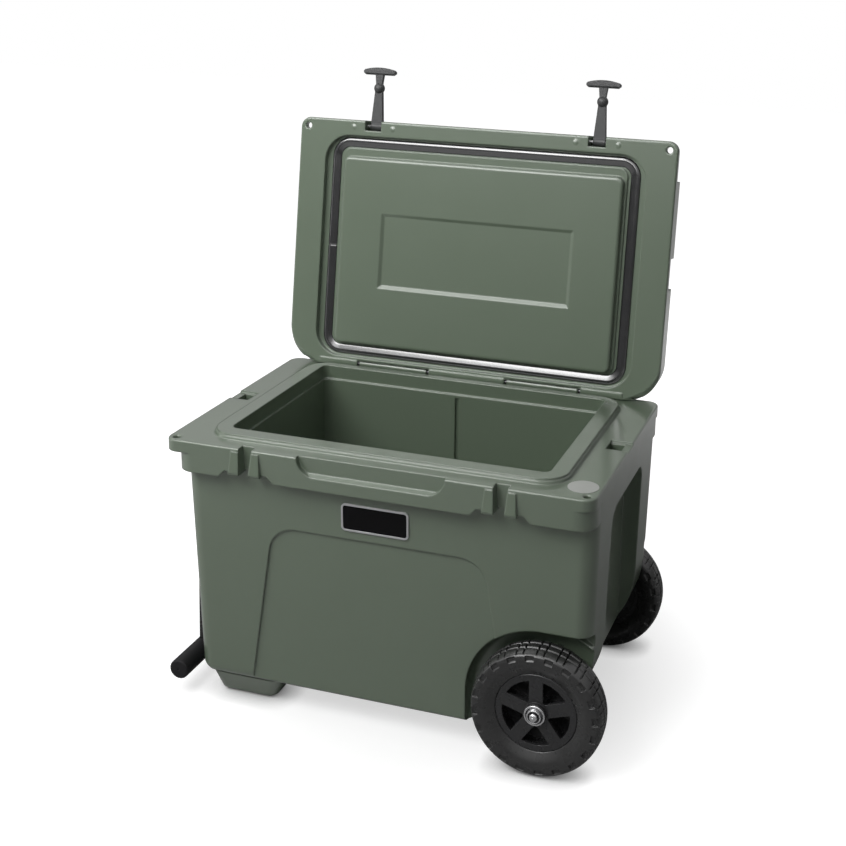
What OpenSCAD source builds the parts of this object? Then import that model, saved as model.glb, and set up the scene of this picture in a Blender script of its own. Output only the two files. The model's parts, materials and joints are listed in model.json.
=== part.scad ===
// Hard cooler on wheels: a foam-filled tub and lid, rubber draw latches,
// a swing-up tow handle at one end and two treaded wheels at the other.
// Sizes are in millimetres. +X is the wheel end, +Y the hinge side, +Z up.

/* [Tub] */
// Width of the rim, handle end to wheel end
rim_w = 677; // [640:1:720]
// Depth of the rim, front to back
rim_d = 445; // [430:1:470]
// Height of the flat top of the rim above the floor
rim_z = 448; // [440:1:480]
// Corner radius of the rim
rim_r = 20; // [12:1:24]
// Height of the square band round the rim
lip_h = 19; // [14:1:24]
// Radius along the top edge of the rim and the bottom edge of the lid
lip_edge = 3; // [2:0.5:4]
// Depth of the skirt below the rim top
skirt_h = 49; // [44:1:56]
// Clearance under the tub
belly_z = 42; // [36:1:50]
// Corner radius of the skirt
skirt_r = 30; // [28:1:36]
// Distance of the skirt from the rim's handle end
skirt_in = 16.5; // [14:0.5:20]
// Radius along the bottom edge
belly_r = 20; // [10:1:22]
// Radius of the tub's upright corners
corner_r = 25; // [23:1:32]
// Lean of the front, back and wheel-end walls in degrees
draft = 1; // [0.5:0.1:1.5]
// Lean of the handle-end wall in degrees
draft_left = 1.6; // [0.5:0.1:2]
// Step from the rim's edge in to the front and back walls
wall_step = 22.7; // [20:0.1:26]
// Step from the rim's edge in to the handle-end wall
end_step = 20.7; // [18:0.1:24]
// Radius of the kick-up below the wheel end
kick_r = 150; // [130:1:160]

/* [Mouth] */
// Distance of the mouth from the rim's ends
border_side = 82.5; // [81:0.5:90]
// Distance of the mouth from the rim's front
border_front = 59.5; // [56:0.5:66]
// Distance of the mouth from the rim's rear edge
border_back = 46.5; // [44:0.5:56]
// Corner radius of the mouth
mouth_r = 12; // [8:1:16]
// Width of the raised land round the mouth
land_w = 26; // [22:0.5:28]
// How much narrower the land is at the hinge side
land_less = 12; // [10:0.5:14]
// Width of each of the two steps outside the land
land_step = 2; // [1:0.5:3]
// Corner radius of the land
land_r = 40; // [30:1:45]
// Height of the raised land above the rim
land_h = 8.5; // [6:0.5:10]
// Depth of the ledge below the top of the land
ledge_drop = 24; // [18:1:30]
// Height of the cavity floor above the floor
floor_z = 85; // [80:1:100]
// Width of the divider groove
slot_w = 7; // [5:0.5:9]
// Depth of the divider groove
slot_depth = 4; // [3:0.5:6]

/* [Front] */
// Half the spacing of the two latches
latch_x = 201; // [190:1:210]
// Width of one keeper rib
keeper_w = 18.5; // [16:0.5:20]
// Gap between the ribs of a keeper at their foot
keeper_gap = 15.4; // [15:0.1:17]
// Gap between the ribs of a keeper at the rim top
keeper_mouth = 22; // [20:0.5:26]
// How much narrower a keeper rib is at its top
keeper_taper = 3.2; // [2:0.1:5]
// How far a keeper rib stands out at its foot
keeper_proud = 6.5; // [4:0.5:8]
// Half-width of the relief in the skirt behind each latch ball
relief_x = 35; // [32:1:40]
// Height of that relief
relief_h = 11; // [8:1:14]
// Half-width of the finger scoop at the rim top
scoop_x = 117; // [100:1:130]
// Height of the finger scoop
scoop_h = 29; // [24:1:34]
// Depth of the finger scoop
scoop_depth = 9; // [6:0.5:11]
// Height of the top of the sunk side panels
panel_z = 319; // [290:1:330]
// Depth of the sunk side panels
panel_depth = 3.5; // [2:0.5:5]
// Corner radius of the sunk side panels
panel_r = 45; // [30:1:60]
// Width of the badge
badge_w = 108; // [90:1:120]
// Height of the badge
badge_h = 44; // [36:1:48]
// Thickness of the badge
badge_t = 2; // [1.5:0.1:3]
// Width of the badge's bright border
badge_border = 3; // [2:0.2:5]

/* [Ends] */
// Half-width of the hand hold at the wheel end
hold_y = 104; // [90:1:115]
// Top of the hand hold above the floor
hold_z = 385; // [370:1:395]
// Depth of the hand hold
hold_depth = 28.5; // [24:0.5:34]
// Diameter of the padlock holes
lock_d = 11; // [8:0.5:12]
// Distance of the padlock holes from the rim's edges
lock_in = 14.8; // [13:0.1:18]
// Width of the tie-down slots
tie_w = 30; // [24:1:36]
// Depth of the tie-down slots, end to end
tie_t = 23; // [16:1:24]
// Distance of the tie-down slots from the rim's ends
tie_in = 12; // [10:1:16]
// Depth of the sunk seat round each tie-down slot
tie_seat = 4; // [2:0.5:6]
// Diameter of the round label
label_d = 45; // [38:1:46]

/* [Lid] */
// Thickness of the lid
lid_h = 45.5; // [40:0.5:52]
// Angle between the lid at rest, open, and the closed lid in degrees
lid_open = 98.8; // [95:0.1:100]
// Gap between the closed lid and the rim
lid_gap = 1.5; // [1.2:0.1:2]
// Radius of the lid's front corners
lid_front_r = 18; // [14:1:22]
// Radius of the lid's rear corners
lid_rear_r = 60; // [50:1:66]
// Radius round the lid's top edge
lid_edge_r = 9; // [6:0.5:12]
// Gap between the plug and the mouth
plug_gap = 4.5; // [3:0.5:6]
// How far the plug reaches below the closed lid's flange
plug_drop = 4.5; // [3:0.5:6]
// Radius round the plug's face
plug_r = 5; // [3:0.5:8]
// Distance of the plug's sunk panel from the mouth's ends
panel_side = 80.5; // [60:0.5:100]
// Distance of the sunk panel from the mouth's front
panel_front = 98; // [80:1:110]
// Distance of the sunk panel from the mouth's back
panel_back = 106; // [80:1:110]
// Depth of the sunk panel
panel_sink = 3.5; // [2:0.5:5]
// Width of the slope round the sunk panel
panel_slope = 7; // [4:0.5:9]
// Height of the rest bumps under the lid's front edge
bump_h = 1.2; // [0.8:0.1:1.4]
// Diameter of the rest bumps
bump_d = 10; // [8:0.5:12]
// Distance of the gasket from the mouth at the ends
gasket_side = 5; // [4:0.5:6]
// Distance of the gasket from the mouth at the front
gasket_front = 12; // [6:0.5:14]
// Outer corner radius of the gasket
gasket_r = 34; // [28:1:40]
// Width of the gasket
gasket_w = 17; // [14:0.5:19]
// Thickness of the gasket
gasket_t = 3.2; // [2.6:0.1:4]
// Reach of the corner cut-outs round the padlock holes
corner_cut = 66; // [50:1:68]
// Thickness of the flange left in those cut-outs
flange_t = 12; // [10:0.5:20]

/* [Hinge] */
// Diameter of the hinge pins
pin_d = 6; // [5:0.5:7]
// Distance of the hinge axis from the rim's rear edge
hinge_in = 15; // [14:0.5:17]
// Height of the hinge axis above the rim
hinge_up = 7.1; // [7:0.1:8]
// Inner end of each tub knuckle, from the middle
knuckle_x = 74; // [60:1:80]
// Length of each tub knuckle
knuckle_len = 126; // [110:1:130]
// Gap at the ends of the knuckles
knuckle_gap = 5; // [3:0.1:6]

/* [Latches] */
// Distance from the latch pin to the ball
ball_reach = 67; // [66:0.5:68]
// Diameter of the ball
ball_d = 19; // [17:0.5:20]
// Distance from the ball to the middle of the pull bar
bar_reach = 28.5; // [24:0.5:34]
// Length of the pull bar
bar_len = 58; // [48:1:64]
// Thickness of the pull bar
bar_t = 13; // [10:0.5:14]
// Width of the strap where it leaves the lid
strap_w = 21; // [18:0.5:25]
// Width of the strap at the ball
strap_end_w = 12.5; // [10:0.5:14]
// Thickness of the strap
strap_t = 8; // [6:0.5:9]
// Diameter of the latch pins
latch_pin_d = 5; // [4:0.5:6]

/* [Wheels] */
// Diameter of the tyres
tyre_d = 203.4; // [190:0.2:206]
// Width of the tyres
tyre_w = 52; // [44:1:54]
// Distance between the middles of the two wheels
track = 406; // [402:1:420]
// Distance of the axle from the rim's end
axle_in = 76.5; // [70:0.5:80]
// Diameter of the axle
axle_d = 12; // [10:0.5:14]
// Length of the axle bushes inside the tub
bush_len = 30; // [20:1:40]
// Diameter of the washers
washer_d = 34; // [30:1:38]
// Distance across the axle caps
cap_d = 21; // [19:1:24]
// How far the hub's face lies inside the tyre's sidewall
bead_in = 10; // [8:0.5:12]
// Diameter of the hubs
hub_d = 126; // [116:1:130]
// Number of hub spokes
spokes = 5; // [4:1:6]
// Width of the hub spokes
spoke_w = 21; // [14:1:22]
// Clearance between the tyre and the arch
arch_gap = 17.3; // [12:0.1:18]
// Fillet between the arch and the well's inner wall
well_fillet = 12; // [4:1:16]
// Number of tread pitches
pitches = 20; // [16:1:22]
// Depth of the tread
tread_depth = 4; // [3:0.5:5]
// Width of the slits between the tread blocks
slit_w = 2.2; // [1.5:0.1:3]
// Share of a pitch that the wide block takes
block_share = 0.64; // [0.5:0.02:0.7]

/* [Handle] */
// Diameter of the grip
grip_d = 33; // [28:1:36]
// Length of the grip
grip_len = 410; // [380:1:430]
// Height of the handle's pivots above the floor
pivot_z = 372; // [366:1:376]
// Half the spacing of the handle's arms
arm_y = 118; // [100:1:125]
// Height of the resting grip's middle above the floor
grip_z = 45; // [40:1:60]
// How far the grip's middle lies beyond the rim's end
grip_out = 1.5; // [0:0.5:6]
// Width of the arms
arm_w = 22; // [18:1:26]
// Thickness of the arms
arm_t = 10; // [8:0.5:12]
// Height of the cross bar above the grip's middle
cross_up = 130; // [110:1:150]
// Height of the cross bar itself
cross_h = 28; // [24:1:36]
// Height of the handle's brackets
bracket_h = 44; // [40:1:50]
// Upper limit of the handle's swing in degrees
handle_swing = 120; // [90:1:130]

/* [Drain] */
// Diameter of the drain opening
drain_d = 20; // [16:1:22]
// Diameter of the drain fitting's flange
drain_flange_d = 42; // [36:1:46]

/* [Hidden] */
$fn = 48;
eps = 0.01;
seat_gap = 0.3;
run_gap = 0.05;
colour_body = "#6f7f6c";
colour_rubber = "#35373a";
colour_plastic = "#26282a";
colour_steel = "#b9bcc0";

half_w = rim_w / 2;
half_d = rim_d / 2;
skirt_z = rim_z - skirt_h;
land_z = rim_z + land_h;
ledge_z = land_z - ledge_drop;
mouth_x = half_w - border_side;
mouth_y0 = -half_d + border_front;
mouth_y1 = half_d - border_back;
land_foot = land_w + 2 * land_step;
wall_y = half_d - wall_step;
end_x = half_w - end_step;
function front_y(z) = wall_y - (skirt_z - z) * tan(draft);
function left_x(z) = end_x - (skirt_z - z) * tan(draft_left);
function right_x(z) = half_w - 0.5 - (skirt_z - z) * tan(draft);

axle_x = half_w - axle_in;
axle_z = tyre_d / 2;
arch_r = tyre_d / 2 + arch_gap;
wheel_y = track / 2;
well_y = wheel_y - tyre_w / 2 - 10;
kick_z = belly_z + kick_r;
kick_x = right_x(kick_z) - kick_r;
shelf_z = axle_z + arch_r + 20;
hold_x = half_w - 1.5 - hold_depth;
tie_x = half_w - tie_in - tie_t / 2;

axis_y = half_d - hinge_in;
axis_z = rim_z + hinge_up;
heel_r = hinge_up - seat_gap;
lean = lid_open - 90;
lid_z = rim_z + lid_gap;
lid_top = lid_z + lid_h;
chan_z = land_z + seat_gap + gasket_t;
function rear_y(z) = axis_y + (heel_r - (z - axis_z) * sin(lean)) / cos(lean);
knuckle_r = hinge_up - 0.1;

latch_y = half_d - 9.6;
latch_z = rim_z + 20;
loop_r = 6.8;
pocket_w = 30;
web_t = 6;
pocket_r = sqrt(pow(web_t / 2, 2) + pow(hinge_up, 2)) + 0.4;

pivot_x = end_x + 13.5;
grip_x = half_w + grip_out;
arm_drop = pivot_z - grip_z;
arm_lean = atan((grip_x - pivot_x) / arm_drop);
bracket_pin_d = 8;
pad_t = 2;
plate_t = 3;
plate_x = end_x + pad_t + plate_t;
boss_r = pivot_x - plate_x - seat_gap;

// The part's origin lies under the middle of its box, with the lid open
nut_h = 8;
nut_y = wheel_y + tyre_w / 2 - 2 + seat_gap;
lid_back = axis_y + (half_d + axis_y - lid_edge_r) * sin(lean) + (lid_top - axis_z) * cos(lean);
shift_x = (axle_x + tyre_d / 2 - grip_x - grip_d / 2) / 2;
shift_y = (lid_back - nut_y - nut_h) / 2;

module placed() {
    translate([-shift_x, -shift_y, 0]) children();
}

// Swings the closed lid's pieces up to where the lid rests, open
module opened() {
    translate([0, axis_y, axis_z]) rotate([-lid_open, 0, 0])
        translate([0, -axis_y, -axis_z]) children();
}

module both_x() {
    children();
    mirror([1, 0, 0]) children();
}

module both_y() {
    children();
    mirror([0, 1, 0]) children();
}

module rounded(x0, y0, x1, y1, r) {
    translate([x0 + r, y0]) square([x1 - x0 - 2 * r, y1 - y0]);
    translate([x0, y0 + r]) square([x1 - x0, y1 - y0 - 2 * r]);
    for (x = [x0 + r, x1 - r], y = [y0 + r, y1 - r])
        translate([x, y]) circle(r);
}

// An outline drawn in X and Z, run from y0 to y1
module along_y(y0, y1) {
    translate([0, y1, 0]) rotate([90, 0, 0]) linear_extrude(y1 - y0) children();
}

// An outline drawn in Y and Z, run from x0 to x1
module along_x(x0, x1) {
    translate([x0, 0, 0]) rotate([90, 0, 90]) linear_extrude(x1 - x0) children();
}

// ---- Tub ----

module tub_layer(z, inset) {
    x0 = -left_x(z) + inset;
    x1 = right_x(z) - inset;
    y1 = front_y(z) - inset;
    translate([0, 0, z]) linear_extrude(eps)
        rounded(x0, -y1, x1, y1, corner_r - inset);
}

module tub_block() {
    intersection() {
        hull() {
            for (a = [0 : 15 : 90])
                tub_layer(belly_z + belly_r * (1 - cos(a)), belly_r * (1 - sin(a)));
            tub_layer(rim_z - lip_h, 0);
        }
        along_y(-half_d, half_d) {
            translate([-half_w, 0]) square([half_w + kick_x, rim_z]);
            translate([0, kick_z]) square([half_w, rim_z - kick_z]);
            translate([kick_x, kick_z]) circle(kick_r, $fn = 96);
        }
    }
}

module skirt() {
    difference() {
        translate([0, 0, skirt_z]) linear_extrude(skirt_h - lip_h / 2)
            rounded(-half_w + skirt_in, -half_d, half_w - 0.5, half_d, skirt_r);
        both_x() translate([latch_x, 0, 0]) along_y(-half_d - 1, -wall_y + 1)
            polygon([
                [-relief_x - relief_h - 1, skirt_z - 1], [-relief_x, skirt_z + relief_h],
                [relief_x, skirt_z + relief_h], [relief_x + relief_h + 1, skirt_z - 1]
            ]);
        translate([-half_w + lock_in, -half_d + lock_in, skirt_z - 1])
            cylinder(d = lock_d + 5, h = skirt_h + 2);
    }
}

module land_outline(grow) {
    rounded(-mouth_x - grow, mouth_y0 - grow, mouth_x + grow, mouth_y1 + grow - land_less,
        land_r + grow - land_w);
}

module rim() {
    hull() {
        translate([0, 0, rim_z - lip_h]) linear_extrude(lip_h - lip_edge)
            rounded(-half_w, -half_d, half_w, half_d, rim_r);
        for (a = [30 : 30 : 90]) {
            inset = lip_edge * (1 - cos(a));
            translate([0, 0, rim_z - eps - lip_edge * (1 - sin(a))]) linear_extrude(eps)
                rounded(-half_w + inset, -half_d + inset, half_w - inset, half_d - inset, rim_r - inset);
        }
    }
    hull() {
        for (s = [0, 1])
            translate([0, 0, rim_z - eps + s * land_h * 0.6]) linear_extrude(eps)
                land_outline(land_foot - s * land_step);
    }
    translate([0, 0, rim_z]) linear_extrude(land_h) land_outline(land_w);
}

module keeper_ribs() {
    foot_z = rim_z - 41;
    top_z = rim_z - 4;
    foot_x = keeper_gap / 2 + keeper_w;
    intersection() {
        along_y(-half_d - 20, -wall_y) polygon([
            [-foot_x, foot_z], [foot_x, foot_z],
            [foot_x - keeper_taper, top_z], [-foot_x + keeper_taper, top_z]
        ]);
        along_x(-foot_x, foot_x) polygon([
            [-half_d + 8, rim_z - 2], [-half_d - 1, rim_z - 5],
            [-half_d - keeper_proud, foot_z + 4], [-half_d - keeper_proud + 2, foot_z - 1],
            [-wall_y + 1, foot_z - 1], [-wall_y + 1, rim_z - 2]
        ]);
    }
}

// The slot for the strap, and the room behind it for the ball
module keeper_slot() {
    along_y(-half_d - 10, -half_d + 15.6)
        polygon([
            [-keeper_gap / 2, rim_z - 45], [keeper_gap / 2, rim_z - 45],
            [keeper_mouth / 2, rim_z + 1], [-keeper_mouth / 2, rim_z + 1]
        ]);
    translate([-keeper_gap / 2 - 1, -half_d - 10, skirt_z + 1])
        cube([keeper_gap + 2, half_d + 10 - wall_y, relief_h]);
}

module scoop() {
    end_x = scoop_x - scoop_h;
    intersection() {
        along_y(-half_d - 1, -half_d + scoop_depth) {
            translate([-end_x, rim_z - scoop_h]) square([2 * end_x, scoop_h + 1]);
            for (s = [-1, 1])
                translate([s * end_x, rim_z]) circle(scoop_h);
        }
        along_x(-scoop_x - 1, scoop_x + 1)
            polygon([
                [-half_d - 1, rim_z + 1], [-half_d - 1, rim_z - scoop_h], [-half_d, rim_z - scoop_h],
                [-half_d + scoop_depth, rim_z - scoop_h + 4], [-half_d + scoop_depth, rim_z + 1]
            ]);
    }
}

module side_panel() {
    translate([0, -front_y(belly_z), belly_z]) rotate([90 - -draft, 0, 0])
        translate([0, 0, -panel_depth]) linear_extrude(20)
            hull() {
                for (s = [-1, 1]) {
                    translate([s * (half_w - 126), -1]) square(2, center = true);
                    translate([s * (half_w - 161.5 - panel_r), panel_z - belly_z - panel_r])
                        circle(panel_r);
                }
            }
}

module foot() {
    hull() {
        translate([0, 0, 0]) linear_extrude(eps) rounded(-half_w + 55, -158, -half_w + 143, -120, 10);
        translate([0, 0, 6]) linear_extrude(eps) rounded(-half_w + 51, -166, -half_w + 150, -114, 14);
        translate([0, 0, belly_z + 3]) linear_extrude(eps)
            rounded(-half_w + 44, -186, -half_w + 172, -100, 20);
    }
}

// The corner that a fillet fills, with the well's inner wall along X
module well_corner() {
    difference() {
        translate([-well_fillet, -1]) square([well_fillet + 1, well_fillet + 1]);
        translate([-well_fillet, well_fillet]) circle(well_fillet);
    }
}

module wheel_wells() {
    both_y() difference() {
        along_y(well_y, half_d + 1) {
            translate([axle_x, axle_z]) circle(arch_r, $fn = 96);
            translate([axle_x, 0]) square([axle_in + 10, axle_z + arch_r]);
            translate([axle_x - arch_r, 0]) square([arch_r, axle_z]);
        }
        translate([axle_x, well_y, axle_z]) {
            rotate([-90, 0, 0]) rotate([0, 0, 180]) rotate_extrude(angle = 180, $fn = 96)
                translate([arch_r, 0]) well_corner();
            translate([-arch_r, 0, -axle_z]) mirror([1, 0, 0]) linear_extrude(axle_z) well_corner();
            translate([0, 0, arch_r]) rotate([90, 0, 90]) linear_extrude(axle_in + 11)
                rotate([0, 0, 90]) mirror([0, 1]) well_corner();
        }
    }
}

module hand_hold() {
    along_x(hold_x, half_w + 10)
        rounded(-hold_y, -60, hold_y, hold_z, 30);
}

module tie_down(from_z) {
    translate([half_w - tie_in - tie_t, -tie_w / 2 - 5, rim_z - tie_seat])
        cube([tie_in + tie_t + 1, tie_w + 10, tie_seat + 1]);
    translate([half_w - tie_in - tie_t, -tie_w / 2, from_z]) cube([tie_t, tie_w, rim_z - from_z]);
}

module padlock_hole(depth) {
    translate([half_w - lock_in, -half_d + lock_in, rim_z - depth]) {
        cylinder(d = lock_d, h = depth + 1);
        translate([0, 0, depth - 1.3]) cylinder(d1 = lock_d, d2 = lock_d + 3.2, h = 1.31);
    }
}

module cavity() {
    y0 = mouth_y0 + 4;
    y1 = mouth_y1 - 4;
    translate([0, 0, ledge_z]) linear_extrude(ledge_drop + 1)
        rounded(-mouth_x, mouth_y0, mouth_x, mouth_y1, mouth_r);
    translate([0, 0, shelf_z]) linear_extrude(ledge_z - shelf_z + 1)
        rounded(-mouth_x + 4, y0, mouth_x - 4, y1, mouth_r);
    translate([0, 0, floor_z]) linear_extrude(shelf_z - floor_z + 1)
        rounded(-mouth_x + 8, y0 + 4, axle_x - arch_r - 15, y1 - 4, mouth_r);
    translate([-5 - slot_w / 2, y0 - slot_depth + 4, floor_z])
        cube([slot_w, y1 - y0 + 2 * slot_depth - 8, ledge_z - floor_z - 6]);
    translate([-5 - slot_w / 2, y0 - slot_depth, shelf_z])
        cube([slot_w, y1 - y0 + 2 * slot_depth, ledge_z - shelf_z - 6]);
}

module hinge_knuckles() {
    both_x()
        translate([knuckle_x, axis_y, 0]) {
            translate([0, 0, axis_z]) rotate([0, 90, 0]) cylinder(r = knuckle_r, h = knuckle_len);
            translate([0, -web_t / 2, rim_z - 1]) cube([knuckle_len, web_t, hinge_up + 1]);
        }
}

module tub() {
    color(colour_body) placed() difference() {
        union() {
            difference() {
                union() {
                    tub_block();
                    skirt();
                    rim();
                    translate([-end_x - pad_t, -arm_y - 30, pivot_z - bracket_h / 2 - 2])
                        cube([20, 2 * arm_y + 60, bracket_h + 4]);
                }
                wheel_wells();
            }
            both_x() translate([latch_x, 0, 0]) keeper_ribs();
            both_y() foot();
            hinge_knuckles();
        }
        both_x() translate([latch_x, 0, 0]) keeper_slot();
        scoop();
        both_y() side_panel();
        hand_hold();
        tie_down(hold_z - 1);
        mirror([1, 0, 0]) tie_down(skirt_z - 1);
        padlock_hole(skirt_h + 10);
        mirror([1, 0, 0]) padlock_hole(lip_h + 10);
        cavity();
        both_y() translate([axle_x, -well_y - 1, axle_z]) rotate([-90, 0, 0])
            cylinder(d = axle_d + 8, h = well_y + 2);
        both_x() translate([knuckle_x - 1, axis_y, axis_z]) rotate([0, 90, 0])
            cylinder(d = pin_d + 2 * run_gap, h = knuckle_len + 2);
        translate([-half_w, 0, floor_z + drain_d / 2 + 3]) rotate([0, 90, 0])
            cylinder(d = drain_d + 6, h = half_w - mouth_x + 20);
    }
}

// ---- Lid, drawn closed ----

module lid_layer(z, inset) {
    rear = (z < axis_z ? axis_y : rear_y(z)) - inset;
    rr = lid_rear_r - inset;
    fr = lid_front_r - inset;
    x1 = half_w - inset;
    y0 = -half_d + inset;
    translate([0, 0, z - eps]) linear_extrude(eps) {
        for (s = [-1, 1]) {
            translate([s * (x1 - fr), y0 + fr]) circle(fr);
            translate([s * (x1 - rr), rear - rr]) circle(rr, $fn = 96);
        }
    }
}

module lid_block() {
    straight = lid_top - lid_edge_r;
    hull() {
        for (a = [0 : 30 : 90])
            lid_layer(lid_z + eps + lip_edge * (1 - cos(a)), lip_edge * (1 - sin(a)));
        lid_layer(axis_z, 0);
        for (a = [0 : 18 : 90])
            lid_layer(straight + lid_edge_r * sin(a), lid_edge_r * (1 - cos(a)));
        translate([-half_w + lid_rear_r, axis_y, axis_z]) rotate([0, 90, 0])
            cylinder(r = heel_r, h = rim_w - 2 * lid_rear_r);
    }
}

// The plug's face, and the low ring at its foot beside the gasket
module plug() {
    x1 = mouth_x - plug_gap;
    y0 = mouth_y0 + plug_gap;
    y1 = mouth_y1 - plug_gap;
    face_z = lid_z - plug_drop;
    hull() {
        for (a = [0 : 30 : 60]) {
            inset = plug_r * (1 - sin(a));
            translate([0, 0, face_z + plug_r * (1 - cos(a))]) linear_extrude(eps)
                rounded(-x1 + inset, y0 + inset, x1 - inset, y1 - inset, mouth_r - inset);
        }
        translate([0, 0, face_z + plug_r]) linear_extrude(chan_z + 1 - face_z - plug_r)
            rounded(-x1, y0, x1, y1, mouth_r);
    }
    translate([0, 0, land_z + 0.5]) linear_extrude(chan_z + 1.5 - land_z)
        rounded(-mouth_x - gasket_side + 5, mouth_y0 - gasket_front + 1,
            mouth_x + gasket_side - 5, mouth_y1 - 1, gasket_r - gasket_w - 1);
}

module plug_panel() {
    hull() {
        for (s = [0, 1])
            translate([0, 0, lid_z - plug_drop + s * (panel_sink + 1) - 1]) linear_extrude(eps)
                polygon([
                    for (x = [-1, 1], y = [-x, x])
                        [x * (mouth_x - panel_side - s * panel_slope),
                         y < 0 ? mouth_y0 + panel_front + s * panel_slope
                               : mouth_y1 - panel_back - s * panel_slope]
                ]);
    }
}

module latch_pocket() {
    translate([-pocket_w / 2, -half_d - 5, rim_z - 1])
        cube([pocket_w, 5 + half_d - latch_y + loop_r + 1, latch_z + loop_r + 2.2 - rim_z + 1]);
    translate([-pocket_w / 2 - 8, -latch_y, latch_z]) rotate([0, 90, 0])
        cylinder(d = latch_pin_d + 2 * run_gap, h = pocket_w + 16);
}

// A low dome that keeps the closed lid off the rim
module rest_bump() {
    dome_r = (pow(bump_d / 2, 2) + pow(bump_h, 2)) / (2 * bump_h);
    translate([0, 0, lid_z + dome_r - bump_h]) intersection() {
        sphere(dome_r);
        translate([-bump_d, -bump_d, -dome_r - 1]) cube([2 * bump_d, 2 * bump_d, bump_h + 2]);
    }
}

module lid() {
    out = land_foot + 2.5;
    color(colour_body) placed() opened() difference() {
        union() {
            difference() {
                lid_block();
                translate([-half_w - 1, -half_d - 1, rim_z - 20])
                    cube([rim_w + 2, half_d + axis_y - 4.5, 20 + lid_gap]);
                both_x() translate([half_w - lid_rear_r - 1, 0, rim_z - 20])
                    cube([lid_rear_r + 2, half_d, 20 + lid_gap]);
                translate([0, 0, rim_z - 5]) linear_extrude(chan_z - rim_z + 5)
                    rounded(-mouth_x - out, mouth_y0 - out, mouth_x + out, mouth_y1 + out - land_less,
                        land_r + 6);
            }
            plug();
            both_x() for (s = [-1, 1])
                translate([latch_x + s * 36.5, -half_d + 12.5, 0]) rest_bump();
        }
        plug_panel();
        both_x() translate([latch_x, 0, 0]) latch_pocket();
        both_x() translate([half_w - lock_in, -half_d + lock_in, rim_z]) {
            cylinder(d = lock_d, h = lid_h);
            cylinder(d1 = lock_d + 5.4, d2 = lock_d, h = 2.7);
        }
        both_x() translate([half_w, -half_d, lid_z + flange_t]) cylinder(r = corner_cut, h = lid_h, $fn = 96);
        both_x() translate([half_w - 24, -29, lid_z + flange_t]) cube([30, 52, lid_h]);
        both_x() translate([knuckle_x - knuckle_gap, axis_y, axis_z]) rotate([0, 90, 0])
            cylinder(r = pocket_r, h = knuckle_len + 2 * knuckle_gap);
        both_x() translate([knuckle_x - 14.5, axis_y, axis_z]) rotate([0, 90, 0])
            cylinder(d = pin_d + 2 * run_gap, h = half_w - knuckle_x);
    }
}

module lid_gasket() {
    x1 = mouth_x + gasket_side + gasket_w;
    y0 = mouth_y0 - gasket_front - gasket_w;
    y1 = mouth_y1 + gasket_w;
    color(colour_rubber) placed() opened() difference() {
        translate([0, 0, chan_z - gasket_t]) linear_extrude(gasket_t) difference() {
            rounded(-x1, y0, x1, y1, gasket_r);
            rounded(-x1 + gasket_w, y0 + gasket_w, x1 - gasket_w, y1 - gasket_w, gasket_r - gasket_w);
        }
        translate([-x1 - 5, 4, chan_z - gasket_t - 1]) cube([gasket_w + 10, 0.6, 1.6]);
    }
}

module hinge_pin(side) {
    color(colour_steel) placed()
        mirror([side < 0 ? 1 : 0, 0, 0])
            translate([knuckle_x - 14, axis_y, axis_z]) rotate([0, 90, 0])
                cylinder(d = pin_d, h = knuckle_len + 100);
}

module hinge_pin_left() {
    hinge_pin(-1);
}

module hinge_pin_right() {
    hinge_pin(1);
}

// ---- Latches, drawn pointing out of the closed lid's front ----

// Flat below, crowned above, with its ends cut off at a slant
module pull_bar() {
    low = 5.5;
    crown_r = 90;
    intersection() {
        translate([-bar_len / 2, low - bar_t / 2, 0]) rotate([0, 90, 0]) cylinder(d = bar_t + 1, h = bar_len);
        translate([0, 0, -bar_t / 2 + 0.5]) linear_extrude(bar_t - 1) intersection() {
            polygon([
                [-bar_len / 2, low - 3.5], [-bar_len / 2 + 3.5, low], [bar_len / 2 - 3.5, low],
                [bar_len / 2, low - 3.5], [bar_len / 2, low - 6.5], [bar_len / 2 - 6.5, low - bar_t],
                [-bar_len / 2 + 6.5, low - bar_t], [-bar_len / 2, low - 6.5]
            ]);
            translate([0, crown_r + low - bar_t]) circle(crown_r, $fn = 180);
        }
    }
}

module latch_shape() {
    half_t = strap_t / 2;
    difference() {
        union() {
            rotate([0, 90, 0]) translate([0, 0, -strap_w / 2]) cylinder(r = loop_r, h = strap_w);
            translate([0, 0, -half_t]) linear_extrude(strap_t)
                polygon([
                    [-strap_w / 2, 0], [strap_w / 2, 0], [strap_w / 2, -8],
                    [strap_end_w / 2, -ball_reach], [5.5, -ball_reach - 8], [8, -ball_reach - bar_reach],
                    [-8, -ball_reach - bar_reach], [-5.5, -ball_reach - 8],
                    [-strap_end_w / 2, -ball_reach], [-strap_w / 2, -8]
                ]);
            translate([0, -ball_reach, 0]) sphere(d = ball_d);
            translate([0, -ball_reach - bar_reach, 0]) pull_bar();
        }
        rotate([0, 90, 0]) cylinder(d = latch_pin_d + 2 * run_gap, h = 60, center = true);
    }
}

module latch(side) {
    color(colour_rubber) placed() opened()
        translate([side * latch_x, -latch_y, latch_z]) latch_shape();
}

module latch_left() {
    latch(-1);
}

module latch_right() {
    latch(1);
}

module latch_pins() {
    color(colour_steel) placed() opened() both_x()
        translate([latch_x - pocket_w / 2 - 7.5, -latch_y, latch_z]) rotate([0, 90, 0])
            cylinder(d = latch_pin_d, h = pocket_w + 15);
}

// ---- Wheels, drawn with the outer face up ----

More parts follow.
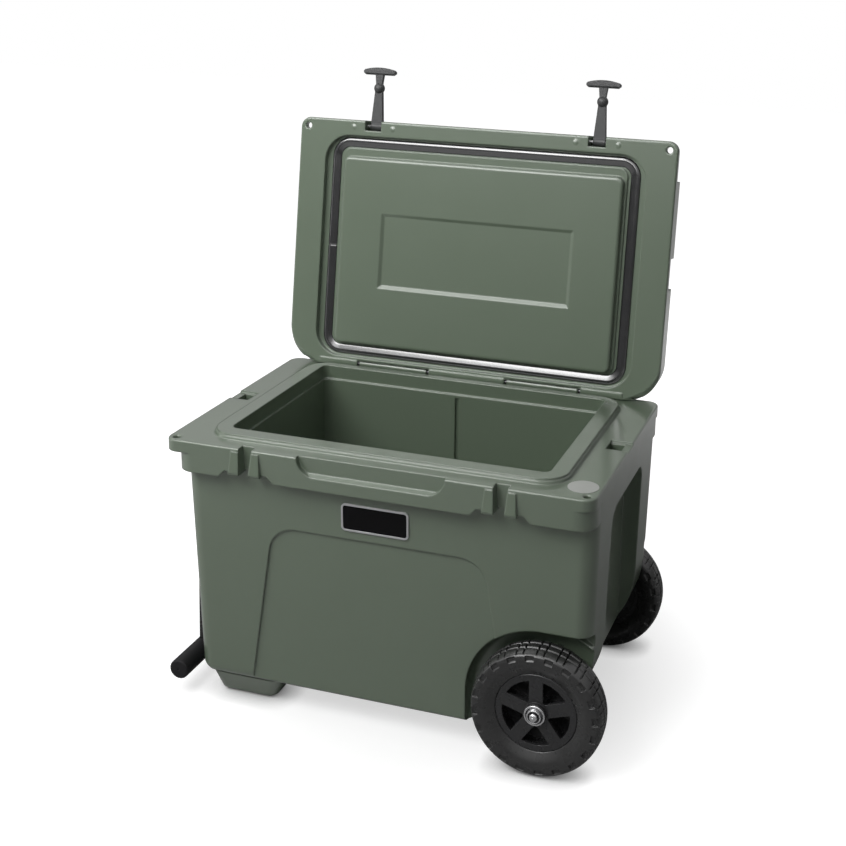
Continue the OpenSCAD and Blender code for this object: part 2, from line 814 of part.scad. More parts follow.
module tyre_shape() {
    r = tyre_d / 2;
    b = hub_d / 2;
    w = tyre_w / 2;
    notch_w = 0.75 * block_share * 2 * PI * (b + 28) / pitches;
    difference() {
        rotate_extrude($fn = 96) polygon([
            [b, -w + bead_in], [b + 13, -w + 2.5], [b + 20, -w + 0.8],
            [r - 9, -w], [r - 4.7, -w + 1.5], [r - 1.2, -w + 9], [r, -3],
            [r, 3], [r - 1.2, w - 9], [r - 4.7, w - 1.5], [r - 9, w],
            [b + 20, w - 0.8], [b + 13, w - 2.5], [b, w - bead_in]
        ]);
        for (i = [0 : pitches - 1])
            rotate([0, 0, i * 360 / pitches]) {
                for (turn = [0, block_share * 360 / pitches])
                    rotate([0, 0, turn]) translate([r - tread_depth, -slit_w / 2, -w - 1])
                        cube([tread_depth + 5, slit_w, tyre_w + 2]);
                for (s = [0, 1])
                    mirror([0, 0, s]) rotate([0, 0, block_share * 180 / pitches])
                        translate([b + 25, -notch_w / 2, w - 3.5]) cube([7.5, notch_w, 10]);
            }
        for (s = [-1, 1])
            rotate_extrude($fn = 96) translate([r - tread_depth, s * tyre_w / 7 - 1])
                square([tread_depth + 5, 2]);
    }
}

module hub_shape() {
    b = hub_d / 2;
    w = tyre_w / 2;
    difference() {
        union() {
            rotate_extrude($fn = 96) polygon([
                [b - 7, -w + bead_in + 1], [b, -w + bead_in + 1],
                [b, w - bead_in - 1.5], [b - 0.8, w - bead_in - 0.5], [b - 1.6, w - bead_in],
                [b - 9, w - bead_in], [b - 9, w - bead_in - 5], [b - 7, w - bead_in - 8]
            ]);
            translate([0, 0, w - bead_in - 6]) cylinder(r = b - 8, h = 6);
            translate([0, 0, -w + 12]) cylinder(r = b - 6, h = 3);
            translate([0, 0, -w]) cylinder(d = axle_d + 23, h = tyre_w - 4);
            for (i = [0 : spokes - 1])
                rotate([0, 0, 19 + i * 360 / spokes])
                    translate([axle_d / 2 + 8, -3, -w + 14]) cube([b - axle_d / 2 - 12, 6, w]);
        }
        translate([0, 0, w - 20]) linear_extrude(20) difference() {
            circle(b - 11);
            circle(d = axle_d + 29);
            for (i = [0 : spokes - 1])
                rotate([0, 0, 19 + i * 360 / spokes]) translate([0, -spoke_w / 2]) square([b, spoke_w]);
        }
        translate([0, 0, -w - 1]) cylinder(d = axle_d + 6, h = tyre_w + 2);
    }
}

module at_wheel(side) {
    translate([axle_x, side * wheel_y, axle_z]) rotate([side < 0 ? 90 : -90, 0, 0]) children();
}

module tyre_front() {
    color(colour_rubber) placed() at_wheel(-1) tyre_shape();
}

module tyre_back() {
    color(colour_rubber) placed() at_wheel(1) tyre_shape();
}

module wheel_hub_front() {
    color(colour_plastic) placed() at_wheel(-1) hub_shape();
}

module wheel_hub_back() {
    color(colour_plastic) placed() at_wheel(1) hub_shape();
}

module hub_bush(side) {
    color(colour_plastic) placed() at_wheel(side) difference() {
        translate([0, 0, -tyre_w / 2]) cylinder(d = axle_d + 6, h = tyre_w - 4);
        translate([0, 0, -tyre_w]) cylinder(d = axle_d + 2 * run_gap, h = 2 * tyre_w);
    }
}

module hub_bush_front() {
    hub_bush(-1);
}

module hub_bush_back() {
    hub_bush(1);
}

module axle() {
    color(colour_steel) placed() translate([axle_x, 0, axle_z]) rotate([90, 0, 0])
        cylinder(d = axle_d, h = track + tyre_w, center = true);
}

module axle_bushes() {
    color(colour_plastic) placed() both_y() difference() {
        translate([axle_x, well_y - bush_len, axle_z]) rotate([-90, 0, 0]) {
            cylinder(d = axle_d + 8, h = bush_len);
            translate([0, 0, bush_len]) cylinder(d = axle_d + 22, h = 10 - seat_gap);
        }
        translate([axle_x, well_y - bush_len - 10, axle_z]) rotate([-90, 0, 0])
            cylinder(d = axle_d, h = bush_len + 30);
    }
}

module wheel_washers() {
    color(colour_steel) placed() both_y() translate([axle_x, wheel_y + tyre_w / 2 - 4 + seat_gap, axle_z])
        rotate([-90, 0, 0]) difference() {
            cylinder(d = washer_d, h = 2);
            translate([0, 0, -1]) cylinder(d = axle_d, h = 4);
            translate([0, 0, 1.2]) difference() {
                cylinder(d = washer_d - 6, h = 2);
                cylinder(d = washer_d - 9, h = 2);
            }
        }
}

module axle_nuts() {
    color(colour_steel) placed() both_y()
        translate([axle_x, nut_y, axle_z]) rotate([-90, 0, 0]) difference() {
            union() {
                cylinder(d = cap_d + 2, h = 1.2);
                intersection() {
                    cylinder(d = cap_d - 2, h = nut_h + 1);
                    translate([0, 0, nut_h - 16]) sphere(r = 16);
                }
            }
            translate([0, 0, -1]) cylinder(d = axle_d, h = 1 + tyre_w / 2 - 24 - seat_gap + 2);
        }
}

// ---- Tow handle, drawn hanging at rest ----

module at_pivot() {
    translate([-pivot_x, 0, pivot_z]) rotate([0, arm_lean, 0]) children();
}

module handle_frame() {
    run = arm_drop / cos(arm_lean);
    color(colour_plastic) placed() at_pivot() difference() {
        union() {
            both_y() translate([0, arm_y, 0]) {
                rotate([90, 0, 0]) cylinder(r = boss_r, h = arm_w, center = true);
                translate([-arm_t / 2, -arm_w / 2, -run + 8]) cube([arm_t, arm_w, run - 8]);
            }
            translate([0, 0, -run]) rotate([90, 0, 0])
                cylinder(d = grip_d - 9 - 2 * run_gap, h = grip_len - 10, center = true);
            translate([-arm_t / 2 + 1, -arm_y, -run + cross_up]) cube([arm_t - 2, 2 * arm_y, cross_h]);
        }
        rotate([90, 0, 0]) cylinder(d = bracket_pin_d + 2 * run_gap, h = rim_d, center = true);
    }
}

module handle_brackets() {
    cheek = 6;
    out = arm_w / 2 + seat_gap;
    color(colour_plastic) placed() both_y() difference() {
        union() {
            translate([-plate_x, arm_y - out - cheek - 8, pivot_z - bracket_h / 2])
                cube([plate_t, 2 * (out + cheek + 8), bracket_h]);
            translate([-pivot_x + arm_t / 2 + seat_gap, arm_y - out, pivot_z - bracket_h / 2])
                cube([pivot_x - arm_t / 2 - seat_gap - plate_x + 1, 2 * out, 8]);
            for (s = [-1, 1])
                translate([0, arm_y + s * (out + cheek / 2), 0]) along_y(-cheek / 2, cheek / 2) {
                    translate([-pivot_x, pivot_z]) circle(9);
                    translate([-pivot_x, pivot_z - 9]) square([pivot_x - plate_x + 1, 18]);
                }
        }
        translate([-pivot_x, 0, pivot_z]) rotate([-90, 0, 0]) cylinder(d = bracket_pin_d, h = rim_d);
    }
}

module handle_pivot_pins() {
    len = arm_w + 2 * seat_gap + 12;
    color(colour_steel) placed() both_y()
        translate([-pivot_x, arm_y - len / 2, pivot_z]) rotate([-90, 0, 0]) {
            cylinder(d = bracket_pin_d, h = len);
            translate([0, 0, -2]) cylinder(d = bracket_pin_d + 5, h = 2);
            translate([0, 0, len]) cylinder(d = bracket_pin_d + 3, h = 1.5);
        }
}

module at_grip() {
    translate([-grip_x, 0, grip_z]) children();
}

module handle_grip() {
    color(colour_rubber) placed() at_grip() difference() {
        rotate([90, 0, 0]) cylinder(d = grip_d, h = grip_len - 10, center = true);
        rotate([90, 0, 0]) cylinder(d = grip_d - 9, h = grip_len, center = true);
        both_y() rotate([0, arm_lean, 0])
            translate([-arm_t / 2 - seat_gap, arm_y - arm_w / 2 - seat_gap, 0])
                cube([arm_t + 2 * seat_gap, arm_w + 2 * seat_gap, grip_d]);
    }
}

module grip_end_caps() {
    color(colour_rubber) placed() at_grip() both_y()
        translate([0, grip_len / 2 - 5, 0]) rotate([-90, 0, 0]) difference() {
            rotate_extrude() {
                square([grip_d / 2 - 4, 5]);
                square([grip_d / 2, 1]);
                translate([grip_d / 2 - 4, 1]) circle(4);
            }
            translate([0, 0, -4]) cylinder(d = grip_d + 2, h = 4);
            translate([0, 0, 7]) sphere(d = 6);
        }
}

// ---- Drain ----

module at_drain() {
    translate([-left_x(floor_z + drain_d / 2 + 3), 0, floor_z + drain_d / 2 + 3])
        rotate([0, -90, 0]) children();
}

module drain_fitting() {
    color(colour_plastic) placed() at_drain() difference() {
        union() {
            translate([0, 0, 0.5]) cylinder(d = drain_flange_d, h = 5);
            translate([0, 0, -55]) cylinder(d = drain_d + 6, h = 56);
        }
        translate([0, 0, -60]) cylinder(d = drain_d, h = 70);
    }
}

module drain_plug() {
    color(colour_plastic) placed() at_drain() {
        translate([0, 0, -12]) cylinder(d = drain_d - 2 * run_gap, h = 19);
        translate([0, 0, 5.5 + seat_gap]) cylinder(d = drain_flange_d - 8, h = 5);
        translate([-13, -3, 10]) cube([26, 6, 6]);
    }
}

// ---- Badge and label ----

module at_badge() {
    z = 355.5;
    translate([0, -front_y(z), z]) rotate([90 + draft, 0, 0]) children();
}

module badge_plate() {
    color("#101112") placed() at_badge() linear_extrude(badge_t)
        rounded(-badge_w / 2 + badge_border, -badge_h / 2 + badge_border,
            badge_w / 2 - badge_border, badge_h / 2 - badge_border, 4);
}

module badge_frame() {
    color(colour_steel) placed() at_badge() linear_extrude(badge_t + 0.4) difference() {
        rounded(-badge_w / 2, -badge_h / 2, badge_w / 2, badge_h / 2, 7);
        rounded(-badge_w / 2 + badge_border, -badge_h / 2 + badge_border,
            badge_w / 2 - badge_border, badge_h / 2 - badge_border, 4);
    }
}

module round_label() {
    x = half_w - label_d / 2 - 6;
    y = -half_d + lock_in + lock_d + label_d / 2 - 2.8;
    color("#c9cac6") placed() translate([x, y, rim_z]) cylinder(d = label_d, h = 0.4);
}

tub();
badge_plate();
badge_frame();
round_label();
lid();
lid_gasket();
hinge_pin_left();
hinge_pin_right();
latch_left();
latch_right();
latch_pins();
tyre_front();
tyre_back();
wheel_hub_front();
wheel_hub_back();
hub_bush_front();
hub_bush_back();
axle();
axle_bushes();
wheel_washers();
axle_nuts();
handle_frame();
handle_brackets();
handle_pivot_pins();
handle_grip();
grip_end_caps();
drain_fitting();
drain_plug();
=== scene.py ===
import bpy
import json
from math import radians, sin, cos, pi
from mathutils import Vector, Matrix


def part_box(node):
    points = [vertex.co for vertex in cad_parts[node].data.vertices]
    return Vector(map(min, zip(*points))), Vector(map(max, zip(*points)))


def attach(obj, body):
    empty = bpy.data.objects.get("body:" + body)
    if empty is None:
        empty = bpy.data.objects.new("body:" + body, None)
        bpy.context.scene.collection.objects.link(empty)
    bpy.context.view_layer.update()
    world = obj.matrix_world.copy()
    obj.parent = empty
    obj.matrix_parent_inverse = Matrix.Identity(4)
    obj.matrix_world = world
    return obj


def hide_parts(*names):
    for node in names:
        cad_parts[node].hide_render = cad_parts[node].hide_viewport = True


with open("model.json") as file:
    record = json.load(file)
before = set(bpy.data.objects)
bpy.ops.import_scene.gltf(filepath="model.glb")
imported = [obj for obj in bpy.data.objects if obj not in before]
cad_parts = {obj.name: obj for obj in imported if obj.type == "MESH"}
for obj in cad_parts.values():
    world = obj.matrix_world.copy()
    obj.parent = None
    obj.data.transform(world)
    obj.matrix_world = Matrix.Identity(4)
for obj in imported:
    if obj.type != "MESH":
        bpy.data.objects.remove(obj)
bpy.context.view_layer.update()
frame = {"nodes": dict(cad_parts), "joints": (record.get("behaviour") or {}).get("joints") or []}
nodes = frame["nodes"]

# ---- View ----
# The cooler is seen from the front, a little from the wheel end and above, with a long
# lens. The aim lies between the tub's middle and the wheels, about half-way up the open lid.

scene = bpy.context.scene
scene.view_settings.view_transform = "Standard"

aim_to_wheels, aim_to_back, aim_height = 0.1338, 0.0005, 0.6794
turn, tilt, distance, roll = radians(17.43), radians(14.64), 2.09635, radians(1.37)
tub_low, tub_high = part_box("tub")
aim = Vector((
    (tub_low.x + tub_high.x) / 2 + aim_to_wheels, (tub_low.y + tub_high.y) / 2 + aim_to_back, aim_height
))
eye = aim + distance * Vector((sin(turn) * cos(tilt), -cos(turn) * cos(tilt), sin(tilt)))

lens = bpy.data.cameras.new("camera")
lens.lens = 58.39
lens.sensor_width = 36
lens.shift_x = -0.0985
lens.shift_y = -0.1596
lens.clip_start = 0.05
camera = bpy.data.objects.new("camera", lens)
camera.matrix_world = (
    Matrix.Translation(eye)
    @ (aim - eye).to_track_quat("-Z", "Y").to_matrix().to_4x4()
    @ Matrix.Rotation(roll, 4, "Z")
)
scene.collection.objects.link(camera)
scene.camera = camera

# ---- Lamps ----
# A wide soft lamp stands high in front on the handle side, with weak ones for the open lid,
# the handle end and the back. A strip overhead only draws the light lines along the edges.


def soft_lamp(name, place, towards, size, power, spread=180):
    light = bpy.data.lights.new(name, "AREA")
    light.shape = "RECTANGLE"
    light.size, light.size_y = size
    light.energy = power
    light.spread = radians(spread)
    lamp = bpy.data.objects.new(name, light)
    lamp.location = place
    lamp.rotation_euler = (Vector(towards) - Vector(place)).to_track_quat("-Z", "Y").to_euler()
    scene.collection.objects.link(lamp)
    return lamp


soft_lamp("key_lamp", (-1.1, -1.5, 2.2), (0, 0, 0.5), (2.2, 1.0), 52)
soft_lamp("lid_lamp", (-0.3, -2.0, 1.75), (0, 0.3, 0.9), (1.7, 0.7), 2.2, 80)
soft_lamp("side_lamp", (-2.3, -0.9, 0.7), (0, 0, 0.5), (0.5, 1.2), 6)
back_lamp = soft_lamp("back_lamp", (0.9, 2.3, 1.1), (0, 0.2, 0.45), (1.8, 1.0), 15)
back_lamp.visible_glossy = False
edge_strip = soft_lamp("edge_strip", (0, -0.7, 2.3), (0, -0.1, 0.4), (2.4, 0.5), 14)
edge_strip.visible_diffuse = False

# ---- Surround ----
# The room gives a weak even light. The camera sees it white, also through anything clear.
# Gloss sees it white only overhead, so that upright faces keep their own colour.


def combine(tree, operation, first, second):
    """The product or the greater of two node outputs."""
    step = tree.nodes.new("ShaderNodeMath")
    step.operation = operation
    tree.links.new(first, step.inputs[0])
    tree.links.new(second, step.inputs[1])
    return step.outputs[0]


def soft_change(tree, value, start, end, least=0.0, most=1.0):
    """Least before start, most past end, with an even change between."""
    fade = tree.nodes.new("ShaderNodeMapRange")
    fade.interpolation_type = "SMOOTHSTEP"
    for socket, number in (("From Min", start), ("From Max", end), ("To Min", least), ("To Max", most)):
        fade.inputs[socket].default_value = number
    tree.links.new(value, fade.inputs["Value"])
    return fade.outputs[0]


world = bpy.data.worlds.new("studio")
scene.world = world
world.use_nodes = True
room = world.node_tree
surround = room.nodes["Background"]
surround.inputs["Color"].default_value = (1, 1, 1, 1)
surround.inputs["Strength"].default_value = 0.09
seen = room.nodes.new("ShaderNodeBackground")
seen.inputs["Color"].default_value = (1, 1, 1, 1)
seen.inputs["Strength"].default_value = 1.0
rays = room.nodes.new("ShaderNodeLightPath").outputs
heading = room.nodes.new("ShaderNodeTexCoord")
height = room.nodes.new("ShaderNodeSeparateXYZ")
room.links.new(heading.outputs["Generated"], height.inputs[0])
overhead = soft_change(room, height.outputs["Z"], 0.0, 0.6)
in_gloss = combine(room, "MULTIPLY", rays["Is Glossy Ray"], overhead)
in_view = combine(room, "MAXIMUM", rays["Is Camera Ray"], rays["Is Transmission Ray"])
swap = room.nodes.new("ShaderNodeMixShader")
room.links.new(combine(room, "MAXIMUM", in_view, in_gloss), swap.inputs["Fac"])
room.links.new(surround.outputs[0], swap.inputs[1])
room.links.new(seen.outputs[0], swap.inputs[2])
room.links.new(swap.outputs[0], room.nodes["World Output"].inputs["Surface"])

# ---- Floor ----
# A matt white sheet under the cooler. A glow that grows outwards makes it as white as the
# room, and is held back close to the wheels and feet, where their shadow lies. There ambient
# occlusion dims the glow further, a painted contact shadow.


def node_material(name):
    material = bpy.data.materials.new(name)
    material.use_nodes = True
    return material, material.node_tree


reach = 8.0
floor_mesh = bpy.data.meshes.new("floor")
floor_mesh.from_pydata(
    [(-reach, -reach, 0), (reach, -reach, 0), (reach, reach, 0), (-reach, reach, 0)], [], [(0, 1, 2, 3)]
)
floor = bpy.data.objects.new("floor", floor_mesh)
scene.collection.objects.link(floor)
floor_paper, paper = node_material("floor_paper")
sheet = paper.nodes["Principled BSDF"]
sheet.inputs["Base Color"].default_value = (0.5, 0.5, 0.5, 1)
sheet.inputs["Roughness"].default_value = 0.9
sheet.inputs["Specular IOR Level"].default_value = 0.0
place = paper.nodes.new("ShaderNodeTexCoord")
from_middle = paper.nodes.new("ShaderNodeVectorMath")
from_middle.operation = "LENGTH"
paper.links.new(place.outputs["Object"], from_middle.inputs[0])
rays = paper.nodes.new("ShaderNodeLightPath").outputs
in_view = combine(paper, "MAXIMUM", rays["Is Camera Ray"], rays["Is Transmission Ray"])
glow_in_view = combine(
    paper, "MULTIPLY", soft_change(paper, from_middle.outputs["Value"], 0.24, 0.60, 0.62, 1.0), in_view
)
glow_in_gloss = combine(
    paper, "MULTIPLY", soft_change(paper, from_middle.outputs["Value"], 0.8, 2.2, 0.0, 0.35),
    rays["Is Glossy Ray"]
)
# Ambient occlusion dims the glow by the wheels and feet: a painted contact shadow.
painted_contact_shadow = paper.nodes.new("ShaderNodeAmbientOcclusion")
painted_contact_shadow.samples = 8
painted_contact_shadow.inputs["Distance"].default_value = 0.035
glow_share = combine(paper, "MAXIMUM", glow_in_view, glow_in_gloss)
glow = paper.nodes.new("ShaderNodeEmission")
paper.links.new(combine(paper, "MULTIPLY", glow_share, painted_contact_shadow.outputs["AO"]), glow.inputs["Strength"])
both = paper.nodes.new("ShaderNodeAddShader")
paper.links.new(sheet.outputs[0], both.inputs[0])
paper.links.new(glow.outputs[0], both.inputs[1])
paper.links.new(both.outputs[0], paper.nodes["Material Output"].inputs["Surface"])
floor_mesh.materials.append(floor_paper)

# ---- Tub and lid ----
# Both shells are rotationally moulded polyethylene, sage green all through, with a fine
# satin pebble from the mould and edges that the moulding leaves softly rounded.


def noise(tree, scale, detail=3.0):
    place = tree.nodes.new("ShaderNodeTexCoord")
    cloud = tree.nodes.new("ShaderNodeTexNoise")
    cloud.inputs["Scale"].default_value = scale
    cloud.inputs["Detail"].default_value = detail
    tree.links.new(place.outputs["Object"], cloud.inputs["Vector"])
    return cloud.outputs["Fac"]


def mix_colours(tree, factor, dark, light):
    mix = tree.nodes.new("ShaderNodeMix")
    mix.data_type = "RGBA"
    dark_socket, light_socket = mix.inputs[6], mix.inputs[7]
    dark_socket.default_value = (*dark, 1)
    light_socket.default_value = (*light, 1)
    tree.links.new(factor, mix.inputs[0])
    return mix.outputs[2]


def finish_surface(name, dark, light, patch, rough, grain, depth, edge,
                   metallic=0.0, specular=0.5, coat=0.0):
    """A moulded or turned surface: colour clouds, a rough range, a fine grain and soft edges."""
    rough_patch, grain_strength, coat_rough = patch * 2.3, 0.35, 0.08
    material, tree = node_material(name)
    shader = tree.nodes["Principled BSDF"]
    shader.inputs["Metallic"].default_value = metallic
    shader.inputs["Specular IOR Level"].default_value = specular
    tree.links.new(mix_colours(tree, noise(tree, patch), dark, light), shader.inputs["Base Color"])
    span = tree.nodes.new("ShaderNodeMapRange")
    span.inputs["To Min"].default_value, span.inputs["To Max"].default_value = rough
    tree.links.new(noise(tree, rough_patch), span.inputs["Value"])
    tree.links.new(span.outputs[0], shader.inputs["Roughness"])
    bump = tree.nodes.new("ShaderNodeBump")
    bump.inputs["Strength"].default_value = grain_strength
    bump.inputs["Distance"].default_value = depth
    tree.links.new(noise(tree, grain, 2.0), bump.inputs["Height"])
    if edge:
        round_off = tree.nodes.new("ShaderNodeBevel")
        round_off.samples = 6
        round_off.inputs["Radius"].default_value = edge
        tree.links.new(round_off.outputs["Normal"], bump.inputs["Normal"])
    tree.links.new(bump.outputs["Normal"], shader.inputs["Normal"])
    if coat:
        shader.inputs["Coat Weight"].default_value = coat
        shader.inputs["Coat Roughness"].default_value = coat_rough
        tree.links.new(bump.outputs["Normal"], shader.inputs["Coat Normal"])
    return material


def dress(material, *names):
    for name in names:
        nodes[name].data.materials.clear()
        nodes[name].data.materials.append(material)


def soften(width, *names):
    """Rounds the edges as moulding leaves them, and keeps flat faces flat."""
    for name in names:
        weld = nodes[name].modifiers.new("weld", "WELD")
        weld.merge_threshold = 0.00002
        rounding = nodes[name].modifiers.new("rounding", "BEVEL")
        rounding.limit_method = "ANGLE"
        rounding.angle_limit = radians(35)
        rounding.width = width
        rounding.segments = 2
        flats = nodes[name].modifiers.new("flats", "WEIGHTED_NORMAL")
        flats.keep_sharp = True


shell_rough, shell_pebble, shell_round = (0.26, 0.33), 0.0002, 0.0036
tub_shell = finish_surface("tub_shell", (0.120, 0.155, 0.110), (0.129, 0.165, 0.119), 9,
                           shell_rough, 900, shell_pebble, shell_round, coat=0.7)
# The lid's colours are painted a little lighter than the tub's: painted light on the open lid's
# upward-facing side.
lid_shell_painted_lighter = finish_surface("lid_shell_painted_lighter", (0.136, 0.175, 0.125), (0.146, 0.186, 0.135), 9,
                           shell_rough, 900, shell_pebble, shell_round, coat=0.7)
dress(tub_shell, "tub")
dress(lid_shell_painted_lighter, "lid")
soften(0.0018, "tub", "lid")

# ---- Hinge pins ----
# Two dull dark steel rods, one on each side of the back edge, run through the knuckles of
# tub and lid and hold the two together.

# The same dark zinc is also the painted shade in the washers' grooves and the collars' recesses.
dark_zinc_and_painted_shade = finish_surface("dark_zinc_and_painted_shade", (0.10, 0.10, 0.105), (0.16, 0.16, 0.165), 60,
                           (0.3, 0.45), 2500, 0.0001, 0.0008, metallic=1.0)
dress(dark_zinc_and_painted_shade, "hinge_pin_left", "hinge_pin_right")

# ---- Gasket ----
# A black rubber bulb pressed into the channel round the lid's plug. It is domed where it
# meets the rim, and its two ends are glued together half-way along the handle end.

lid_hinge = next(joint for joint in frame["joints"] if joint["name"] == "lid_hinge")
hinge_line = Vector(lid_hinge["pos_m"])
swing_open = (
    Matrix.Translation(hinge_line)
    @ Matrix.Rotation(-radians(lid_hinge["range_deg"][1]), 4, "X")
    @ Matrix.Translation(-hinge_line)
)


def closed_box(name):
    """The box of one of the lid's nodes with the lid closed, where its sides are square."""
    shut = swing_open.inverted()
    points = [shut @ vertex.co for vertex in nodes[name].data.vertices]
    return [Vector([pick(point[axis] for point in points) for axis in range(3)]) for pick in (min, max)]


def swept_faces(count, ring, first=0, closed=True):
    """The faces between count like sections of ring points, carried once round a loop."""
    faces = []
    for i in range(count):
        here, there = first + i * ring, first + (i + 1) % count * ring
        for j in range(ring if closed else ring - 1):
            beside = (j + 1) % ring
            faces.append((here + j, here + beside, there + beside, there + j))
    return faces


def new_piece(name, points, faces, material, body):
    mesh = bpy.data.meshes.new(name)
    mesh.from_pydata([tuple(point) for point in points], [], faces)
    mesh.validate()
    for face in mesh.polygons:
        face.use_smooth = True
    mesh.materials.append(material)
    piece = bpy.data.objects.new(name, mesh)
    scene.collection.objects.link(piece)
    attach(piece, body)
    return piece


seal_low, seal_high = closed_box("lid_gasket")
seal_half, seal_corner, crest = 0.0085, 0.034, 0.15
seal_dome = seal_high.z - seal_low.z
corner_steps, corner_step = 11, 9
glued_joint = (  # distance from the joint, and the bulb's size there
    (0.006, 1.0), (0.003, 1.0), (0.0016, 1.0), (0.0005, 0.86),
    (-0.0005, 0.86), (-0.0016, 1.0), (-0.003, 1.0), (-0.006, 1.0)
)
stations = []
for corner_x, corner_y, start in ((1, 1, 0), (0, 1, 90), (0, 0, 180), (1, 0, 270)):
    middle = Vector((seal_high.x - seal_corner if corner_x else seal_low.x + seal_corner,
                     seal_high.y - seal_corner if corner_y else seal_low.y + seal_corner, seal_high.z))
    for step in range(corner_steps):
        angle = radians(start + corner_step * step)
        outward = Vector((cos(angle), sin(angle), 0))
        stations.append((middle + (seal_corner - seal_half) * outward, outward, 1.0))
    if start == 90:
        for offset, swell in glued_joint:
            glued = Vector((seal_low.x + seal_half, (seal_low.y + seal_high.y) / 2 + offset, seal_high.z))
            stations.append((glued, Vector((-1, 0, 0)), swell))
# The bulb's section, across and up: from the outer foot over the crest to the inner side.
bulb = [(-1 + (1 + crest) * k / 8, 0.1 + 0.9 * (k / 8) ** 0.85) for k in range(8)]
bulb += [(crest + (1 - crest) * sin(pi * k / 12), cos(pi * k / 12)) for k in range(7)]
points = []
for place, outward, swell in stations:
    for across, rise in bulb:
        drop = Vector((0, 0, rise * seal_dome * swell))
        points.append(swing_open @ (place + across * seal_half * outward * swell - drop))
seal_rubber = finish_surface("seal_rubber", (0.014, 0.014, 0.015), (0.022, 0.022, 0.023), 20,
                             (0.16, 0.26), 1200, 0.0001, 0, specular=1.0, coat=1.0)
seal = new_piece("gasket_bulb", points, swept_faces(len(stations), len(bulb)), seal_rubber, "lid")
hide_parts("lid_gasket")

# ---- Badge ----
# A thin black plate in a narrow frame of silver metal. Both are bare, and lie flat on the
# front of the tub.

steel = finish_surface("satin_steel", (0.50, 0.50, 0.51), (0.62, 0.62, 0.63), 60,
                       (0.25, 0.4), 2500, 0.0001, 0.0006, metallic=1.0)
dress(steel, "badge_frame")
badge_black = finish_surface("badge_black", (0.003, 0.003, 0.0035), (0.0045, 0.0045, 0.005), 30,
                             (0.2, 0.25), 1500, 0.00003, 0.0004, specular=0.1)
dress(badge_black, "badge_plate")

# ---- Round label ----
# A small round of pale film, left bare. It is stuck on top of the rim by the right padlock
# hole.

label_film = finish_surface("label_film", (0.42, 0.43, 0.41), (0.47, 0.48, 0.46), 40,
                            (0.3, 0.4), 900, 0.0001, 0.0002)
dress(label_film, "round_label")

# ---- Draw latches ----
# Each latch is one moulding of black rubber: a strap with a ball that is drawn down into
# the tub's keeper, and a T-shaped pull. Steel pins through the lid carry the straps.

latch_rubber = finish_surface("latch_rubber", (0.038, 0.039, 0.040), (0.052, 0.053, 0.054), 30,
                              (0.4, 0.55), 1800, 0.0002, 0.0012)
dress(latch_rubber, "latch_left", "latch_right")
dress(steel, "latch_pins")
soften(0.0008, "latch_left", "latch_right")

# ---- Wheel hubs and axle ----
# The five-spoke hubs, their bushes and the tub's axle bushes are moulded in black plastic.
# They turn on one steel axle that runs across the tub from side to side.

hub_plastic = finish_surface("hub_plastic", (0.020, 0.020, 0.021), (0.027, 0.027, 0.028), 25,
                             (0.22, 0.32), 1500, 0.0002, 0.0010)
dress(hub_plastic, "wheel_hub_front", "wheel_hub_back", "hub_bush_front", "hub_bush_back", "axle_bushes")
dress(steel, "axle")
soften(0.0008, "wheel_hub_front", "wheel_hub_back")

# ---- Tyres ----
# Each tyre is one solid moulded ring of black rubber on its hub. Slits and two grooves part
# the tread into long and short blocks, and a shallow pocket sits in each long one's shoulder.

tread_pitches, long_share, slit, tread_deep = 20, 0.64, 0.0022, 0.004
groove_at, groove_bottom, groove_mouth = 0.00743, 0.0006, 0.0015
pocket_radius, pocket_high, pocket_deep, pocket_share = 0.09175, 0.0075, 0.0035, 0.75
slit_edge_in, slit_edge_out = 0.0004, 0.0005
pocket_edge_in, pocket_edge_out = 0.0005, 0.0004
tread_from, tread_spacing, wall_spacing = 0.085, 0.0009, 0.003
beside_slit = (-18, -15, -13, -11, -9, -7, 0, 7, 9, 11, 13, 15, 18)  # in tenths of a millimetre
beside_pocket_end = (-6, -3, 0, 3, 6)
steps_in_pitch = 16


def ease(value, inside, outside):
    """1 up to inside, 0 beyond outside, and a rounded edge between."""
    share = min(max((outside - value) / (outside - inside), 0), 1)
    return share * share * (3 - 2 * share)


def tyre_outline(radius, half_width):
    """Radius and distance from the middle plane, from one bead over the tread to the other."""
    bead = 0.063
    rough = [(bead, half_width - 0.010), (bead + 0.013, half_width - 0.0025),
             (bead + 0.020, half_width - 0.0008), (radius - 0.009, half_width),
             (radius - 0.0047, half_width - 0.0015), (radius - 0.0012, half_width - 0.009), (radius, 0.003)]
    rough += [(r, -h) for r, h in reversed(rough)]
    for _ in range(2):
        cut = [rough[0]]
        for (r0, h0), (r1, h1) in zip(rough, rough[1:]):
            cut += [(0.75 * r0 + 0.25 * r1, 0.75 * h0 + 0.25 * h1),
                    (0.25 * r0 + 0.75 * r1, 0.25 * h0 + 0.75 * h1)]
        rough = cut + [rough[-1]]
    fine = []
    for (r0, h0), (r1, h1) in zip(rough, rough[1:]):
        spacing = tread_spacing if r1 > tread_from else wall_spacing
        parts = max(1, round(Vector((r1 - r0, h1 - h0)).length / spacing))
        fine += [(r0 + (r1 - r0) * k / parts, h0 + (h1 - h0) * k / parts) for k in range(parts)]
    return fine + [rough[-1]]


